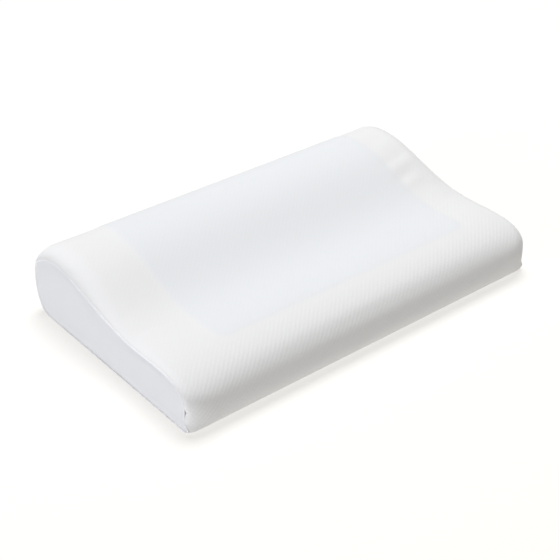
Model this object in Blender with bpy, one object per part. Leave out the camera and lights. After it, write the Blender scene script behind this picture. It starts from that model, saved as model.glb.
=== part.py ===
# Contour bed pillow: a moulded foam core with a cooling gel pad on it, in a sewn knit cover
# that closes with a coil zip along its back face.
#
# Metres. X runs along the long side, -Y is the low front lobe, +Y the high back lobe, and the
# base lies on Z = 0. The origin is under the middle of the box that everything fits in.

import math

import bmesh
import bpy

# Pillow, measured over the cover
LENGTH = 0.500
DEPTH = 0.310
HIGH_LOBE = 0.100
LOW_LOBE = 0.0615
VALLEY_DIP = 0.0006          # from the low crest down to the bottom of the valley
HIGH_LOBE_IN = 0.056         # from the back face to the crown
LOW_LOBE_IN = 0.062          # from the front face to the low crest
VALLEY_IN = 0.100            # from the front face to the bottom of the valley
BACK_BULGE = 0.040           # height where the back face stands out furthest
FRONT_BULGE = 0.030          # height where the front face stands out furthest
BASE_BACK_IN = 0.027         # from the back face to the flat of the base
BASE_FRONT_IN = 0.012        # from the front face to the flat of the base
CORNER_FULLNESS = 0.63       # 0.55 gives elliptic corners, more gives squarer ones
FRONT_FOOT_FULLNESS = 0.80   # the same for the corner between the front face and the base
SLOPE_FULLNESS = 0.45        # how far the lobes run out level before the slope between them

# How the wrap turns in at each end
ROLL = 0.014                 # along X
ROLL_DROP_HIGH = 0.0135      # inwards, at the crown
ROLL_DROP_LOW = 0.0045       # inwards, from the low lobe's height down
ROLL_STEPS = 4

# Layers
COVER = 0.0012
CORE_EASE = 0.0004           # room between the core and the zip's tape, past the usual gap
PAD_THICKNESS = 0.0030
PAD_LENGTH = 0.364
PAD_SHIFT = 0.008            # along X, from the middle of the pillow
PAD_FRONT_IN = 0.054         # from the front face to the pad's edge
PAD_BACK_IN = 0.013          # from the back face to the pad's edge
PAD_CORNER = 0.012
PIPING_RADIUS = 0.0011
PIPING_SIDES = 6
GAP = 0.0003                 # between pieces that touch on the real thing

# Zip
ZIP_END_IN = 0.050           # from the pillow's end to the zip's end
SLIT_BEYOND = 0.002          # how far the opening runs past the zip at each end
TAPE_WIDTH = 0.014
TAPE_THICKNESS = 0.0008
TAPE_BEYOND = 0.010          # how far the tape runs past the zip at each end
COIL_WIDTH = 0.00175
COIL_THICKNESS = 0.0016
STOP_LENGTH = 0.003
STOP_WIDTH = 0.0048
SLIDER_LENGTH = 0.011
SLIDER_WALL = 0.0009
SLIDER_FLARE = 0.0014        # how much wider it is at the end that leads when it closes
SLIDER_CLEARANCE = 0.0010    # to the opening's edges
COIL_CLEARANCE = 0.0007      # from the coil to the slider's lips
BRIDGE_LENGTH = 0.0058
BRIDGE_WIDTH = 0.0020
BRIDGE_CLEARANCE = 0.0009    # what the pull's end bar has spare under the bridge
PULL_LENGTH = 0.024
PULL_WIDTH = 0.0070
PULL_THICKNESS = 0.0010
PULL_ARM = 0.0013            # width of each arm beside the bridge
PULL_ARM_CLEARANCE = 0.0004
PULL_END_CLEARANCE = 0.0009  # from the bridge's corner to the solid part of the pull
PULL_HOLE_RADIUS = 0.0013

# Care label, sewn into the back seam beside the zip
LABEL_WIDTH = 0.020
LABEL_DROP = 0.028
LABEL_THICKNESS = 0.0004
LABEL_FROM_ZIP = 0.008       # along X, from the end of the zip

# Sizes and places that several pieces share
VALLEY = LOW_LOBE - VALLEY_DIP
ZIP_LENGTH = LENGTH - 2 * ZIP_END_IN
TAPE_DEPTH = COVER + GAP
CORE_INSET = TAPE_DEPTH + TAPE_THICKNESS + GAP + CORE_EASE
COIL_PROUD = COIL_THICKNESS - COVER
SLIDER_PROUD = COIL_PROUD + GAP + SLIDER_WALL
SLIDER_TAIL_WIDTH = 2 * (GAP / 2 + COIL_WIDTH + COIL_CLEARANCE + SLIDER_WALL)
SLIDER_WIDTH = SLIDER_TAIL_WIDTH + SLIDER_FLARE
SLIT_HALF = SLIDER_WIDTH / 2 + SLIDER_CLEARANCE
BRIDGE_OPENING = PULL_THICKNESS + BRIDGE_CLEARANCE
BRIDGE_PROUD = SLIDER_PROUD + BRIDGE_OPENING + SLIDER_WALL
BACK = (DEPTH - BRIDGE_PROUD) / 2
FRONT = BACK - DEPTH
BRIDGE_CORNER = math.hypot(BRIDGE_LENGTH / 2, BRIDGE_OPENING / 2 + SLIDER_WALL)
PULL_WINDOW = BRIDGE_CORNER + PULL_END_CLEARANCE
SLIDER_START = -ZIP_LENGTH / 2 + STOP_LENGTH + GAP + SLIDER_LENGTH / 2


def cubic(points, share):
    """The point at this share of a cubic Bezier curve, and its direction of travel there."""
    a, b, c, d = points
    rest = 1 - share
    place = [rest**3 * p + 3 * rest**2 * share * q + 3 * rest * share**2 * r + share**3 * s
             for p, q, r, s in zip(a, b, c, d)]
    travel = [rest**2 * (q - p) + 2 * rest * share * (r - q) + share**2 * (s - r)
              for p, q, r, s in zip(a, b, c, d)]
    return place, travel


def stretchUpright(start, end, full=CORNER_FULLNESS):
    """A curve in YZ that leaves its start upright and reaches its end level."""
    (y0, z0), (y1, z1) = start, end
    return (y0, z0), (y0, z0 + full * (z1 - z0)), (y1 + full * (y0 - y1), z1), (y1, z1)


def stretchLevel(start, end, full):
    """A curve in YZ that leaves its start level and reaches its end level."""
    (y0, z0), (y1, z1) = start, end
    return (y0, z0), (y0 + full * (y1 - y0), z0), (y1 + full * (y0 - y1), z1), (y1, z1)


def outline(finer=1):
    """(y, z, outward normal y, z) round the cross-section: up from the zip line, over, and back."""
    backBulge = (BACK, BACK_BULGE)
    crown = (BACK - HIGH_LOBE_IN, HIGH_LOBE)
    valley = (FRONT + VALLEY_IN, VALLEY)
    crest = (FRONT + LOW_LOBE_IN, LOW_LOBE)
    frontBulge = (FRONT, FRONT_BULGE)
    baseFront = (FRONT + BASE_FRONT_IN, 0.0)
    baseBack = (BACK - BASE_BACK_IN, 0.0)
    stretches = (
        (stretchUpright(backBulge, crown), 11),
        (stretchLevel(crown, valley, SLOPE_FULLNESS), 14),
        (stretchLevel(valley, crest, SLOPE_FULLNESS), 4),
        (stretchUpright(frontBulge, crest)[::-1], 9),
        (stretchUpright(frontBulge, baseFront, FRONT_FOOT_FULLNESS), 10),
        (stretchLevel(baseFront, baseBack, 1 / 3), 6),
        (stretchUpright(backBulge, baseBack)[::-1], 8),
    )
    points = []
    for stretch, steps in stretches:
        for step in range(steps * finer):
            (y, z), (dy, dz) = cubic(stretch, step / (steps * finer))
            size = math.hypot(dy, dz)
            points.append((y, z, dz / size, -dy / size))
    return points


def distancesAlong():
    """The outline in small steps, each with its distance along the surface from the zip line."""
    points = outline(finer=8)
    found = [(0.0, points[0])]
    for before, after in zip(points, points[1:] + points[:1]):
        step = math.hypot(after[0] - before[0], after[1] - before[1])
        found.append((found[-1][0] + step, after))
    return found


SURFACE = distancesAlong()


def surfaceAt(distance):
    """The outline's place and normal this far from the zip line: over the top, or down if negative."""
    distance %= SURFACE[-1][0]
    for (before, a), (after, b) in zip(SURFACE, SURFACE[1:]):
        if distance <= after:
            share = (distance - before) / (after - before)
            return [p + share * (q - p) for p, q in zip(a, b)]
    return SURFACE[-1][1]


def distanceOverTop(wanted):
    """How far over the top from the zip line the outline reaches this y."""
    return next(distance for distance, (y, z, _, _) in SURFACE if y <= wanted and z > BACK_BULGE)


def rolledIn(z):
    """How far the wrap's edge turns in, where the outline is at this height."""
    share = min(max((z - LOW_LOBE) / (HIGH_LOBE - LOW_LOBE), 0.0), 1.0)
    eased = share * share * (3 - 2 * share)
    return ROLL_DROP_LOW + (ROLL_DROP_HIGH - ROLL_DROP_LOW) * eased


def insetRing(x, depthAt):
    """The outline at this x, moved inwards by the depth that depthAt gives for each height."""
    return [(x, y - ny * depthAt(z), z - nz * depthAt(z)) for y, z, ny, nz in outline()]


def rolledRings(inset):
    """Rings from end to end of the shape that lies this far inside the cover's outer face."""
    rings = []
    for step in range(ROLL_STEPS + 1):
        angle = math.pi / 2 * step / ROLL_STEPS
        turned = 1 - math.cos(angle)
        x = LENGTH / 2 - ROLL + (ROLL - inset) * math.sin(angle)
        rings.append(insetRing(x, lambda z: inset + (rolledIn(z) - inset) * turned))
    mirrored = [[(-x, y, z) for x, y, z in ring] for ring in reversed(rings)]
    return mirrored + rings


def finish(name, mesh, material):
    """An object for this bmesh, with its faces turned outwards."""
    bmesh.ops.recalc_face_normals(mesh, faces=mesh.faces)
    data = bpy.data.meshes.new(name)
    mesh.to_mesh(data)
    mesh.free()
    if material:
        data.materials.append(material)
    made = bpy.data.objects.new(name, data)
    bpy.context.scene.collection.objects.link(made)
    return made


def addRings(mesh, rings, closed=True):
    """Adds rows of points joined by quads, each row a loop or, if not closed, a line."""
    rows = [[mesh.verts.new(point) for point in ring] for ring in rings]
    for row, following in zip(rows, rows[1:]):
        count = len(row)
        for i in range(count if closed else count - 1):
            j = (i + 1) % count
            mesh.faces.new((row[i], row[j], following[j], following[i]))
    return rows


def solidBody(name, inset, material):
    """A closed body that follows the pillow's shape this far inside the cover's outer face."""
    mesh = bmesh.new()
    rows = addRings(mesh, rolledRings(inset))
    mesh.faces.new(rows[0])
    mesh.faces.new(rows[-1])
    return finish(name, mesh, material)


def tubeBody(name, outer, inner, material):
    """A sleeve that is open at both ends, between two depths."""
    mesh = bmesh.new()
    outside = addRings(mesh, rolledRings(outer))
    inside = addRings(mesh, rolledRings(inner))
    for a, b in ((outside[0], inside[0]), (outside[-1], inside[-1])):
        for i in range(len(a)):
            j = (i + 1) % len(a)
            mesh.faces.new((a[i], a[j], b[j], b[i]))
    return finish(name, mesh, material)


def sheetBody(name, rows, outer, inner, material):
    """A strip that lies on the outline. Each row is (distance from the zip line, lowest x, highest x)."""
    mesh = bmesh.new()
    loops = []
    for distance, low, high in rows:
        y, z, ny, nz = surfaceAt(distance)
        over = (y - ny * outer, z - nz * outer)
        under = (y - ny * inner, z - nz * inner)
        loops.append([(low, *over), (high, *over), (high, *under), (low, *under)])
    made = addRings(mesh, loops)
    mesh.faces.new(made[0])
    mesh.faces.new(made[-1])
    return finish(name, mesh, material)


def prism(name, corners, low, high, place, material):
    """Flat corners carried from low to high. place turns (u, v, height) into a point."""
    mesh = bmesh.new()
    rows = addRings(mesh, [[place(u, v, height) for u, v in corners] for height in (low, high)])
    mesh.faces.new(rows[0])
    mesh.faces.new(rows[-1])
    return finish(name, mesh, material)


def soften(made, width, segments=2):
    bevel = made.modifiers.new("Softened edges", "BEVEL")
    bevel.width = width
    bevel.segments = segments
    bevel.limit_method = "ANGLE"


def combine(made, other, operation):
    """Cuts the other object away, or joins it on, and keeps it out of the model."""
    other.hide_render = True
    other.display_type = "WIRE"
    other.parent = made.parent
    boolean = made.modifiers.new(other.name, "BOOLEAN")
    boolean.operation = operation
    boolean.solver = "EXACT"
    boolean.object = other


def finishOf(name, colour, roughness, metallic=0.0):
    """A plain material. The colour is linear."""
    made = bpy.data.materials.new(name)
    made.use_nodes = True
    shader = made.node_tree.nodes["Principled BSDF"]
    shader.inputs["Base Color"].default_value = (*colour, 1)
    shader.inputs["Roughness"].default_value = roughness
    shader.inputs["Metallic"].default_value = metallic
    return made


def padRows(grow=0.0):
    """The gel pad's rows, with its corners rounded in plan, grown by a clearance all round."""
    back = distanceOverTop(BACK - PAD_BACK_IN) - grow
    front = distanceOverTop(FRONT + PAD_FRONT_IN) + grow
    half = PAD_LENGTH / 2 + grow
    cornerSteps = 5
    middleSteps = 34
    rounded = []
    for step in range(cornerSteps):
        angle = math.pi / 2 * step / cornerSteps
        rounded.append((PAD_CORNER * (1 - math.cos(angle)), PAD_CORNER * (1 - math.sin(angle))))
    rows = [(back + along, half - narrower) for along, narrower in rounded]
    first, last = back + PAD_CORNER, front - PAD_CORNER
    rows += [(first + (last - first) * step / middleSteps, half) for step in range(middleSteps + 1)]
    rows += [(front - along, half - narrower) for along, narrower in reversed(rounded)]
    return [(distance, PAD_SHIFT - width, PAD_SHIFT + width) for distance, width in rows]


def makeCore(foam, gel):
    """The foam core, with a recess that the gel pad lies in."""
    core = solidBody("foam_core", CORE_INSET, foam)
    recess = sheetBody("pad_recess", padRows(GAP), 0.0, CORE_INSET + PAD_THICKNESS + GAP, None)
    combine(core, recess, "DIFFERENCE")
    sheetBody("gel_pad", padRows(), CORE_INSET, CORE_INSET + PAD_THICKNESS, gel)


def makeWrap(knit):
    """The panel that runs over the top, front and base, with the zip's opening in its back."""
    wrap = tubeBody("cover_wrap", 0.0, COVER, knit)
    half = ZIP_LENGTH / 2 + SLIT_BEYOND
    reach = 3 * COVER
    corners = [(-half, BACK_BULGE - SLIT_HALF), (half, BACK_BULGE - SLIT_HALF),
               (half, BACK_BULGE + SLIT_HALF), (-half, BACK_BULGE + SLIT_HALF)]
    slit = prism("zip_slit", corners, BACK - reach, BACK + reach, lambda x, z, y: (x, y, z), None)
    combine(wrap, slit, "DIFFERENCE")


def makeEnd(side, way, knit, cord):
    """One end: the panel, and the seam's piping round it. way is -1 at the left and 1 at the right."""
    middle = LENGTH / 2 - PIPING_RADIUS
    mesh = bmesh.new()
    loops = []
    for y, z, ny, nz in outline():
        depth = rolledIn(z) + GAP + PIPING_RADIUS
        loop = []
        for step in range(PIPING_SIDES):
            angle = 2 * math.pi * step / PIPING_SIDES
            out = PIPING_RADIUS * math.cos(angle) - depth
            loop.append((way * (middle + PIPING_RADIUS * math.sin(angle)), y + ny * out, z + nz * out))
        loops.append(loop)
    addRings(mesh, loops + loops[:1])
    bmesh.ops.remove_doubles(mesh, verts=mesh.verts, dist=1e-6)
    finish("piping_" + side, mesh, cord)

    inside = 2 * (GAP + PIPING_RADIUS)
    mesh = bmesh.new()
    faces = [insetRing(way * (middle + shift), lambda z: rolledIn(z) + inside)
             for shift in (-COVER / 2, COVER / 2)]
    rows = addRings(mesh, faces)
    mesh.faces.new(rows[0])
    mesh.faces.new(rows[-1])
    finish("cover_end_" + side, mesh, knit)


def makeTape(side, way, tape):
    """One half of the zip's tape, sewn behind the edge of the opening. way is 1 above, -1 below."""
    half = ZIP_LENGTH / 2 + TAPE_BEYOND
    steps = 5
    near, far = GAP / 2, TAPE_WIDTH
    rows = [(way * (near + (far - near) * step / steps), -half, half) for step in range(steps + 1)]
    sheetBody("zip_tape_" + side, rows, TAPE_DEPTH, TAPE_DEPTH + TAPE_THICKNESS, tape)


def makeCoil(side, way, nylon):
    """One half of the zip's coil, as a bar with a rounded outer face."""
    half = ZIP_LENGTH / 2 - STOP_LENGTH - GAP
    base = BACK - COVER
    crest = COIL_THICKNESS - COIL_WIDTH / 2
    corners = [(GAP / 2, 0.0), (GAP / 2 + COIL_WIDTH, 0.0)]
    for step in range(5):
        angle = math.pi * step / 4
        across = GAP / 2 + COIL_WIDTH / 2 * (1 + math.cos(angle))
        corners.append((across, crest + COIL_WIDTH / 2 * math.sin(angle)))
    prism("zip_coil_" + side, corners, -half, half,
          lambda across, out, x: (x, base + out, BACK_BULGE + way * across), nylon)


def makeStop(side, way, metal):
    """The stop that ends the coil."""
    end = ZIP_LENGTH / 2
    corners = [(end - STOP_LENGTH, -STOP_WIDTH / 2), (end, -STOP_WIDTH / 2),
               (end, STOP_WIDTH / 2), (end - STOP_LENGTH, STOP_WIDTH / 2)]
    stop = prism("zip_stop_" + side, corners, BACK - COVER, BACK + COIL_PROUD,
                 lambda x, z, y: (way * x, y, BACK_BULGE + z), metal)
    soften(stop, 0.0005)


def makeSlider(metal):
    """The slider, a plate with a lip down each side of the coil and a bridge for the pull."""
    slider = bpy.data.objects.new("slider_place", None)
    slider.location = (SLIDER_START, BACK, BACK_BULGE)
    bpy.context.scene.collection.objects.link(slider)

    def section(x, width):
        half = width / 2
        top, under, lip = SLIDER_PROUD, SLIDER_PROUD - SLIDER_WALL, -COVER
        inner = half - SLIDER_WALL
        corners = [(-half, lip), (-half, top), (half, top), (half, lip),
                   (inner, lip), (inner, under), (-inner, under), (-inner, lip)]
        return [(x, out, across) for across, out in corners]

    end = SLIDER_LENGTH / 2
    shoulder = -SLIDER_LENGTH / 8
    mesh = bmesh.new()
    rows = addRings(mesh, [section(-end, SLIDER_WIDTH), section(shoulder, SLIDER_WIDTH),
                           section(end, SLIDER_TAIL_WIDTH)])
    mesh.faces.new(rows[0])
    mesh.faces.new(rows[-1])
    body = finish("zip_slider", mesh, metal)
    body.parent = slider
    soften(body, 0.00025)

    reach, leg = BRIDGE_LENGTH / 2, BRIDGE_LENGTH / 2 - SLIDER_WALL
    foot, under = SLIDER_PROUD - SLIDER_WALL / 2, SLIDER_PROUD + BRIDGE_OPENING
    corners = [(-reach, foot), (-reach, BRIDGE_PROUD), (reach, BRIDGE_PROUD), (reach, foot),
               (leg, foot), (leg, under), (-leg, under), (-leg, foot)]
    bridge = prism("slider_bridge", corners, -BRIDGE_WIDTH / 2, BRIDGE_WIDTH / 2,
                   lambda x, out, across: (x, out, across), None)
    combine(body, bridge, "UNION")
    return slider


def makePull(slider, metal):
    """The pull. Its end bar passes under the bridge, and its origin is on the hinge's axis."""
    bar = PULL_THICKNESS / 2
    armHalf = BRIDGE_WIDTH / 2 + PULL_ARM_CLEARANCE
    neck = armHalf + PULL_ARM
    wide = PULL_WIDTH / 2
    corners = [(-bar, -neck), (PULL_WINDOW, -neck), (PULL_WINDOW + neck, -wide)]
    tipSteps = 8
    for step in range(tipSteps + 1):
        angle = math.pi * (step / tipSteps - 0.5)
        corners.append((PULL_LENGTH - wide + wide * math.cos(angle), wide * math.sin(angle)))
    corners += [(PULL_WINDOW + neck, wide), (PULL_WINDOW, neck), (-bar, neck)]

    def flat(x, across, out):
        return (x, out, across)

    pull = prism("zip_pull", corners, -bar, bar, flat, metal)
    window = prism("pull_window", [(bar, -armHalf), (PULL_WINDOW, -armHalf),
                                   (PULL_WINDOW, armHalf), (bar, armHalf)],
                   -PULL_THICKNESS, PULL_THICKNESS, flat, None)
    around = [2 * math.pi * step / 12 for step in range(12)]
    hole = prism("pull_hole", [(PULL_LENGTH - wide + PULL_HOLE_RADIUS * math.cos(angle),
                                PULL_HOLE_RADIUS * math.sin(angle)) for angle in around],
                 -PULL_THICKNESS, PULL_THICKNESS, flat, None)
    hinge = bpy.data.objects.new("pull_hinge", None)
    hinge.parent = slider
    hinge.location = (0.0, SLIDER_PROUD + BRIDGE_OPENING / 2, 0.0)
    bpy.context.scene.collection.objects.link(hinge)
    pull.parent = hinge
    combine(pull, window, "DIFFERENCE")
    combine(pull, hole, "DIFFERENCE")


def makeLabel(satin):
    """A blank care label that hangs from the back seam beside the zip."""
    low = ZIP_LENGTH / 2 + LABEL_FROM_ZIP
    steps = 6
    rows = [(-LABEL_DROP * step / steps - GAP, low, low + LABEL_WIDTH) for step in range(steps + 1)]
    sheetBody("care_label", rows, -GAP - LABEL_THICKNESS, -GAP, satin)


def clearScene():
    for old in list(bpy.data.objects):
        bpy.data.objects.remove(old)


def main():
    clearScene()
    foam = finishOf("Moulded viscoelastic foam", (0.87, 0.82, 0.66), 0.9)
    gel = finishOf("Cooling gel pad", (0.32, 0.52, 0.80), 0.35)
    knit = finishOf("White air-layer knit", (0.88, 0.88, 0.86), 0.85)
    endKnit = finishOf("White plain knit", (0.80, 0.81, 0.84), 0.85)
    cord = finishOf("Seam piping", (0.86, 0.86, 0.87), 0.8)
    tape = finishOf("Woven polyester tape", (0.80, 0.80, 0.80), 0.75)
    nylon = finishOf("Nylon coil", (0.82, 0.82, 0.82), 0.4)
    metal = finishOf("White coated zinc", (0.80, 0.80, 0.80), 0.35)
    satin = finishOf("Woven satin label", (0.85, 0.85, 0.85), 0.5)

    makeCore(foam, gel)
    makeWrap(knit)
    for side, way in (("left", -1), ("right", 1)):
        makeEnd(side, way, endKnit, cord)
        makeStop(side, way, metal)
    for side, way in (("upper", 1), ("lower", -1)):
        makeTape(side, way, tape)
        makeCoil(side, way, nylon)
    slider = makeSlider(metal)
    makePull(slider, metal)
    makeLabel(satin)


main()
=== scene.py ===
import math

import bmesh
import bpy
import numpy as np
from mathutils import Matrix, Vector


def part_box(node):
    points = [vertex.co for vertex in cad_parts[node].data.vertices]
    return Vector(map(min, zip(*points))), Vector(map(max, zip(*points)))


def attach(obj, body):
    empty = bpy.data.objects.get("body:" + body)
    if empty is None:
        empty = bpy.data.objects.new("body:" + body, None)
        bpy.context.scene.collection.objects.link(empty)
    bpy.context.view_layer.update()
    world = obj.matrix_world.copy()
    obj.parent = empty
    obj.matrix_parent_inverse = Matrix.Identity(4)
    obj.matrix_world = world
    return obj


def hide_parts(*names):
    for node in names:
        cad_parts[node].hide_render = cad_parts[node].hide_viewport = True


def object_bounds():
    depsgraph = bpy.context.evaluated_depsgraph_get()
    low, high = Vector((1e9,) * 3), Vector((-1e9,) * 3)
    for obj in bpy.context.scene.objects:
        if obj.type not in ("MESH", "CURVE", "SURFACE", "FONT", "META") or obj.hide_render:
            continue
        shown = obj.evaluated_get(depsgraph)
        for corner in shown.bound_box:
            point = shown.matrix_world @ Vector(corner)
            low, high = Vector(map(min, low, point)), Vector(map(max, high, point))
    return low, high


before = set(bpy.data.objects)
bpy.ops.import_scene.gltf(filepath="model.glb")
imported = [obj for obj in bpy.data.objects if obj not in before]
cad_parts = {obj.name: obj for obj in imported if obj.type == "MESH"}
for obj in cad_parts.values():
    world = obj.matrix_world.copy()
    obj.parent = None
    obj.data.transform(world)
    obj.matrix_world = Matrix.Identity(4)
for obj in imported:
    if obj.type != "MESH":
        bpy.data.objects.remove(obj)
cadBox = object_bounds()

print("frame loaded:", len(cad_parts), "nodes")


def linear(hexColour):
    parts = [int(hexColour[i:i + 2], 16) / 255 for i in (1, 3, 5)]
    return tuple(c / 12.92 if c <= 0.04045 else ((c + 0.055) / 1.055) ** 2.4 for c in parts) + (1.0,)


def addNode(tree, kind, settings=None, inputs=None):
    # settings may be an operation alone; inputs gives each socket, by its name or number or in order,
    # a value or the socket that feeds it
    node = tree.nodes.new(kind)
    if isinstance(settings, str):
        settings = {"operation": settings}
    if isinstance(inputs, list):
        inputs = dict(enumerate(inputs))
    for key, value in (settings or {}).items():
        setattr(node, key, value)
    for key, value in (inputs or {}).items():
        if isinstance(value, bpy.types.NodeSocket):
            tree.links.new(value, node.inputs[key])
        else:
            node.inputs[key].default_value = value
    return node


def smoothStep(value, low, high):
    share = np.clip((value - low) / (high - low), 0, 1)
    return share * share * (3 - 2 * share)


# camera, floor and light

view = {
    "azimuth": -39.26,
    "elevation": 32.05,
    "distance": 1.5328,
    "target": (0.0, 0.0, 0.0414),
    "lens": 83.75,
    "shift": (-0.0107, -0.0378),      # how far the picture's middle lies off the lens's axis
}


def makeCamera():
    a, e = math.radians(view["azimuth"]), math.radians(view["elevation"])
    back = Vector((math.sin(a) * math.cos(e), -math.cos(a) * math.cos(e), math.sin(e)))
    data = bpy.data.cameras.new("camera")
    data.lens = view["lens"]
    data.sensor_width = 36
    data.shift_x, data.shift_y = view["shift"]
    data.clip_start = 0.05
    camera = bpy.data.objects.new("camera", data)
    camera.location = Vector(view["target"]) + back * view["distance"]
    camera.rotation_euler = back.to_track_quat("Z", "Y").to_euler()
    bpy.context.scene.collection.objects.link(camera)
    bpy.context.scene.camera = camera


studio = {
    "floorSide": 12.0,
    "floorDrop": 0.0004,                              # how far it lies under the pillow's base
    "floorColour": "#A8A8A7",
    "floorGlow": 0.61,                                # lit from below, as a light table is
    "glowColour": "#FFFDF9",
    "world": ("#FFF9EF", 0.17),                       # colour, strength
    # name: place, side in metres, watts, colour
    "overhead": ((0.6, 0.66, 3.3), 2.1, 112, "#FCFDFF"),
    "left": ((-2.8, -0.3, 0.75), 1.8, 36, "#F4F7FF"),
}


def makeStudio():
    half = studio["floorSide"] / 2
    mesh = bpy.data.meshes.new("floor")
    corners = [(-half, -half, 0), (half, -half, 0), (half, half, 0), (-half, half, 0)]
    mesh.from_pydata(corners, [], [(0, 1, 2, 3)])
    floor = bpy.data.objects.new("floor", mesh)
    floor.location.z = -studio["floorDrop"]
    bpy.context.scene.collection.objects.link(floor)
    acrylic = bpy.data.materials.new("Acrylic, opal sheet over a light table")
    acrylic.use_nodes = True
    shader = acrylic.node_tree.nodes["Principled BSDF"]
    shader.inputs["Base Color"].default_value = linear(studio["floorColour"])
    shader.inputs["Roughness"].default_value = 1.0
    shader.inputs["Specular IOR Level"].default_value = 0.0
    shader.inputs["Emission Color"].default_value = linear(studio["glowColour"])
    shader.inputs["Emission Strength"].default_value = studio["floorGlow"]
    mesh.materials.append(acrylic)
    world = bpy.data.worlds.new("studio")
    world.use_nodes = True
    colour, strength = studio["world"]
    world.node_tree.nodes["Background"].inputs["Color"].default_value = linear(colour)
    world.node_tree.nodes["Background"].inputs["Strength"].default_value = strength
    bpy.context.scene.world = world
    for name in ("overhead", "left"):
        place, side, watts, colour = studio[name]
        data = bpy.data.lights.new(name, "AREA")
        data.shape = "DISK"
        data.size = side
        data.energy = watts
        data.color = linear(colour)[:3]
        lamp = bpy.data.objects.new(name, data)
        lamp.location = place
        lamp.rotation_euler = Vector(place).to_track_quat("Z", "Y").to_euler()
        bpy.context.scene.collection.objects.link(lamp)
    bpy.context.scene.view_settings.view_transform = "Standard"


makeCamera()
makeStudio()
print("camera and light set")


# the pillow's cross-section, read from the foam core

section = {
    "samples": 2400,
    "smoothing": 0.0035,       # rounds off the core's facets
    "sortFrom": 0.75,          # its points are sorted round this share of its middle height
    "lowLobe": -0.1,           # the low lobe lies in front of this
}


def readSection():
    # the core's ring where its rounded end begins, sorted round its middle and smoothed
    points = np.array([v.co[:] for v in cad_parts["foam_core"].data.vertices])
    ringX = points[points[:, 2] > points[:, 2].max() - 1e-5, 0].max()
    ring = np.unique(np.round(points[np.abs(points[:, 0] - ringX) < 1e-4, 1:], 6), axis=0)
    middle = (ring.max(0) + ring.min(0)) / 2 * np.array((1.0, section["sortFrom"]))
    ring = ring[np.argsort(np.arctan2(ring[:, 1] - middle[1], ring[:, 0] - middle[0]))]
    evenly = alongLoop(ring, section["samples"])
    around = np.linalg.norm(np.roll(evenly, -1, 0) - evenly, axis=1).sum()
    waves = np.fft.fftfreq(section["samples"], 1 / section["samples"]) * 2 * np.pi / around
    damped = np.exp(-0.5 * (waves * section["smoothing"]) ** 2)[:, None]
    return np.real(np.fft.ifft(np.fft.fft(evenly, axis=0) * damped, axis=0))


def alongLoop(points, count):
    # the same loop with its points evenly apart
    closed = np.vstack([points, points[:1]])
    far = np.concatenate([[0], np.cumsum(np.linalg.norm(np.diff(closed, axis=0), axis=1))])
    wanted = np.linspace(0, far[-1], count, endpoint=False)
    return np.stack([np.interp(wanted, far, closed[:, k]) for k in range(closed.shape[1])], axis=1)


def loopNormals(points):
    way = np.roll(points, -1, 0) - np.roll(points, 1, 0)
    way /= np.linalg.norm(way, axis=1)[:, None]
    return np.stack([way[:, 1], -way[:, 0]], axis=1)


def makeOutline():
    # the cover's outer face, starting at the zip line and going up
    core = readSection()
    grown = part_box("cover_wrap")[1].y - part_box("foam_core")[1].y
    cover = alongLoop(core + loopNormals(core) * grown, section["samples"])
    return np.roll(cover, -int(cover[:, 0].argmax()), axis=0)


outline = makeOutline()
outlineNormals = loopNormals(outline)
outlineStep = np.linalg.norm(np.roll(outline, -1, 0) - outline, axis=1).mean()
girth = outlineStep * len(outline)


def onOutline(distance):
    # (y, z) and the normal this far round from the zip line, upwards if positive
    where = np.mod(np.asarray(distance) / outlineStep, len(outline))
    index = np.arange(len(outline) + 1)
    closed = np.vstack([outline, outline[:1]])
    normals = np.vstack([outlineNormals, outlineNormals[:1]])
    place = np.stack([np.interp(where, index, closed[:, k]) for k in (0, 1)], axis=-1)
    normal = np.stack([np.interp(where, index, normals[:, k]) for k in (0, 1)], axis=-1)
    return place, normal / np.linalg.norm(normal, axis=-1, keepdims=True)


halfLength = cadBox[1].x
crownHeight = outline[:, 1].max()
frontHeight = outline[outline[:, 0] < section["lowLobe"], 1].max()
print(f"outline read: {girth * 1000:.0f} mm round, high lobe {crownHeight * 1000:.1f} mm")


# meshes

def link(name, mesh):
    made = bpy.data.objects.new(name, mesh)
    bpy.context.scene.collection.objects.link(made)
    return made


def gridQuads(rows, columns, closed=False, looped=False):
    # closed joins the last column to the first, and looped the last row
    index = np.arange(rows * columns).reshape(rows, columns)
    if looped:
        index = np.vstack([index, index[:1]])
    if closed:
        index = np.hstack([index, index[:, :1]])
    corners = (index[:-1, :-1], index[:-1, 1:], index[1:, 1:], index[1:, :-1])
    return np.stack([c.ravel() for c in corners], axis=1)


def band(one, other, count):
    # quads between two rings of points that start at these numbers
    return [(one + k, one + (k + 1) % count, other + (k + 1) % count, other + k) for k in range(count)]


def fan(first, count, pole):
    # triangles that close a ring at its pole
    return [(first + k, first + (k + 1) % count, pole) for k in range(count)]


def meshFrom(name, points, faces, fabric=None):
    mesh = bpy.data.meshes.new(name)
    mesh.from_pydata(np.asarray(points).reshape(-1, 3).tolist(), [], [list(map(int, f)) for f in faces])
    if fabric is not None:
        spread = mesh.attributes.new("fabric", "FLOAT_VECTOR", "POINT")
        spread.data.foreach_set("vector", np.asarray(fabric, np.float32).ravel())
    mesh.shade_smooth()
    return mesh


def faceOutwards(mesh):
    work = bmesh.new()
    work.from_mesh(mesh)
    bmesh.ops.recalc_face_normals(work, faces=work.faces)
    work.to_mesh(mesh)
    work.free()


def readPoints(mesh):
    flat = np.zeros(len(mesh.vertices) * 3, np.float32)
    mesh.vertices.foreach_get("co", flat)
    return flat.reshape(-1, 3).astype(float)


def readFabric(mesh):
    flat = np.zeros(len(mesh.vertices) * 3, np.float32)
    mesh.attributes["fabric"].data.foreach_get("vector", flat)
    return flat.reshape(-1, 3).astype(float)


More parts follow.
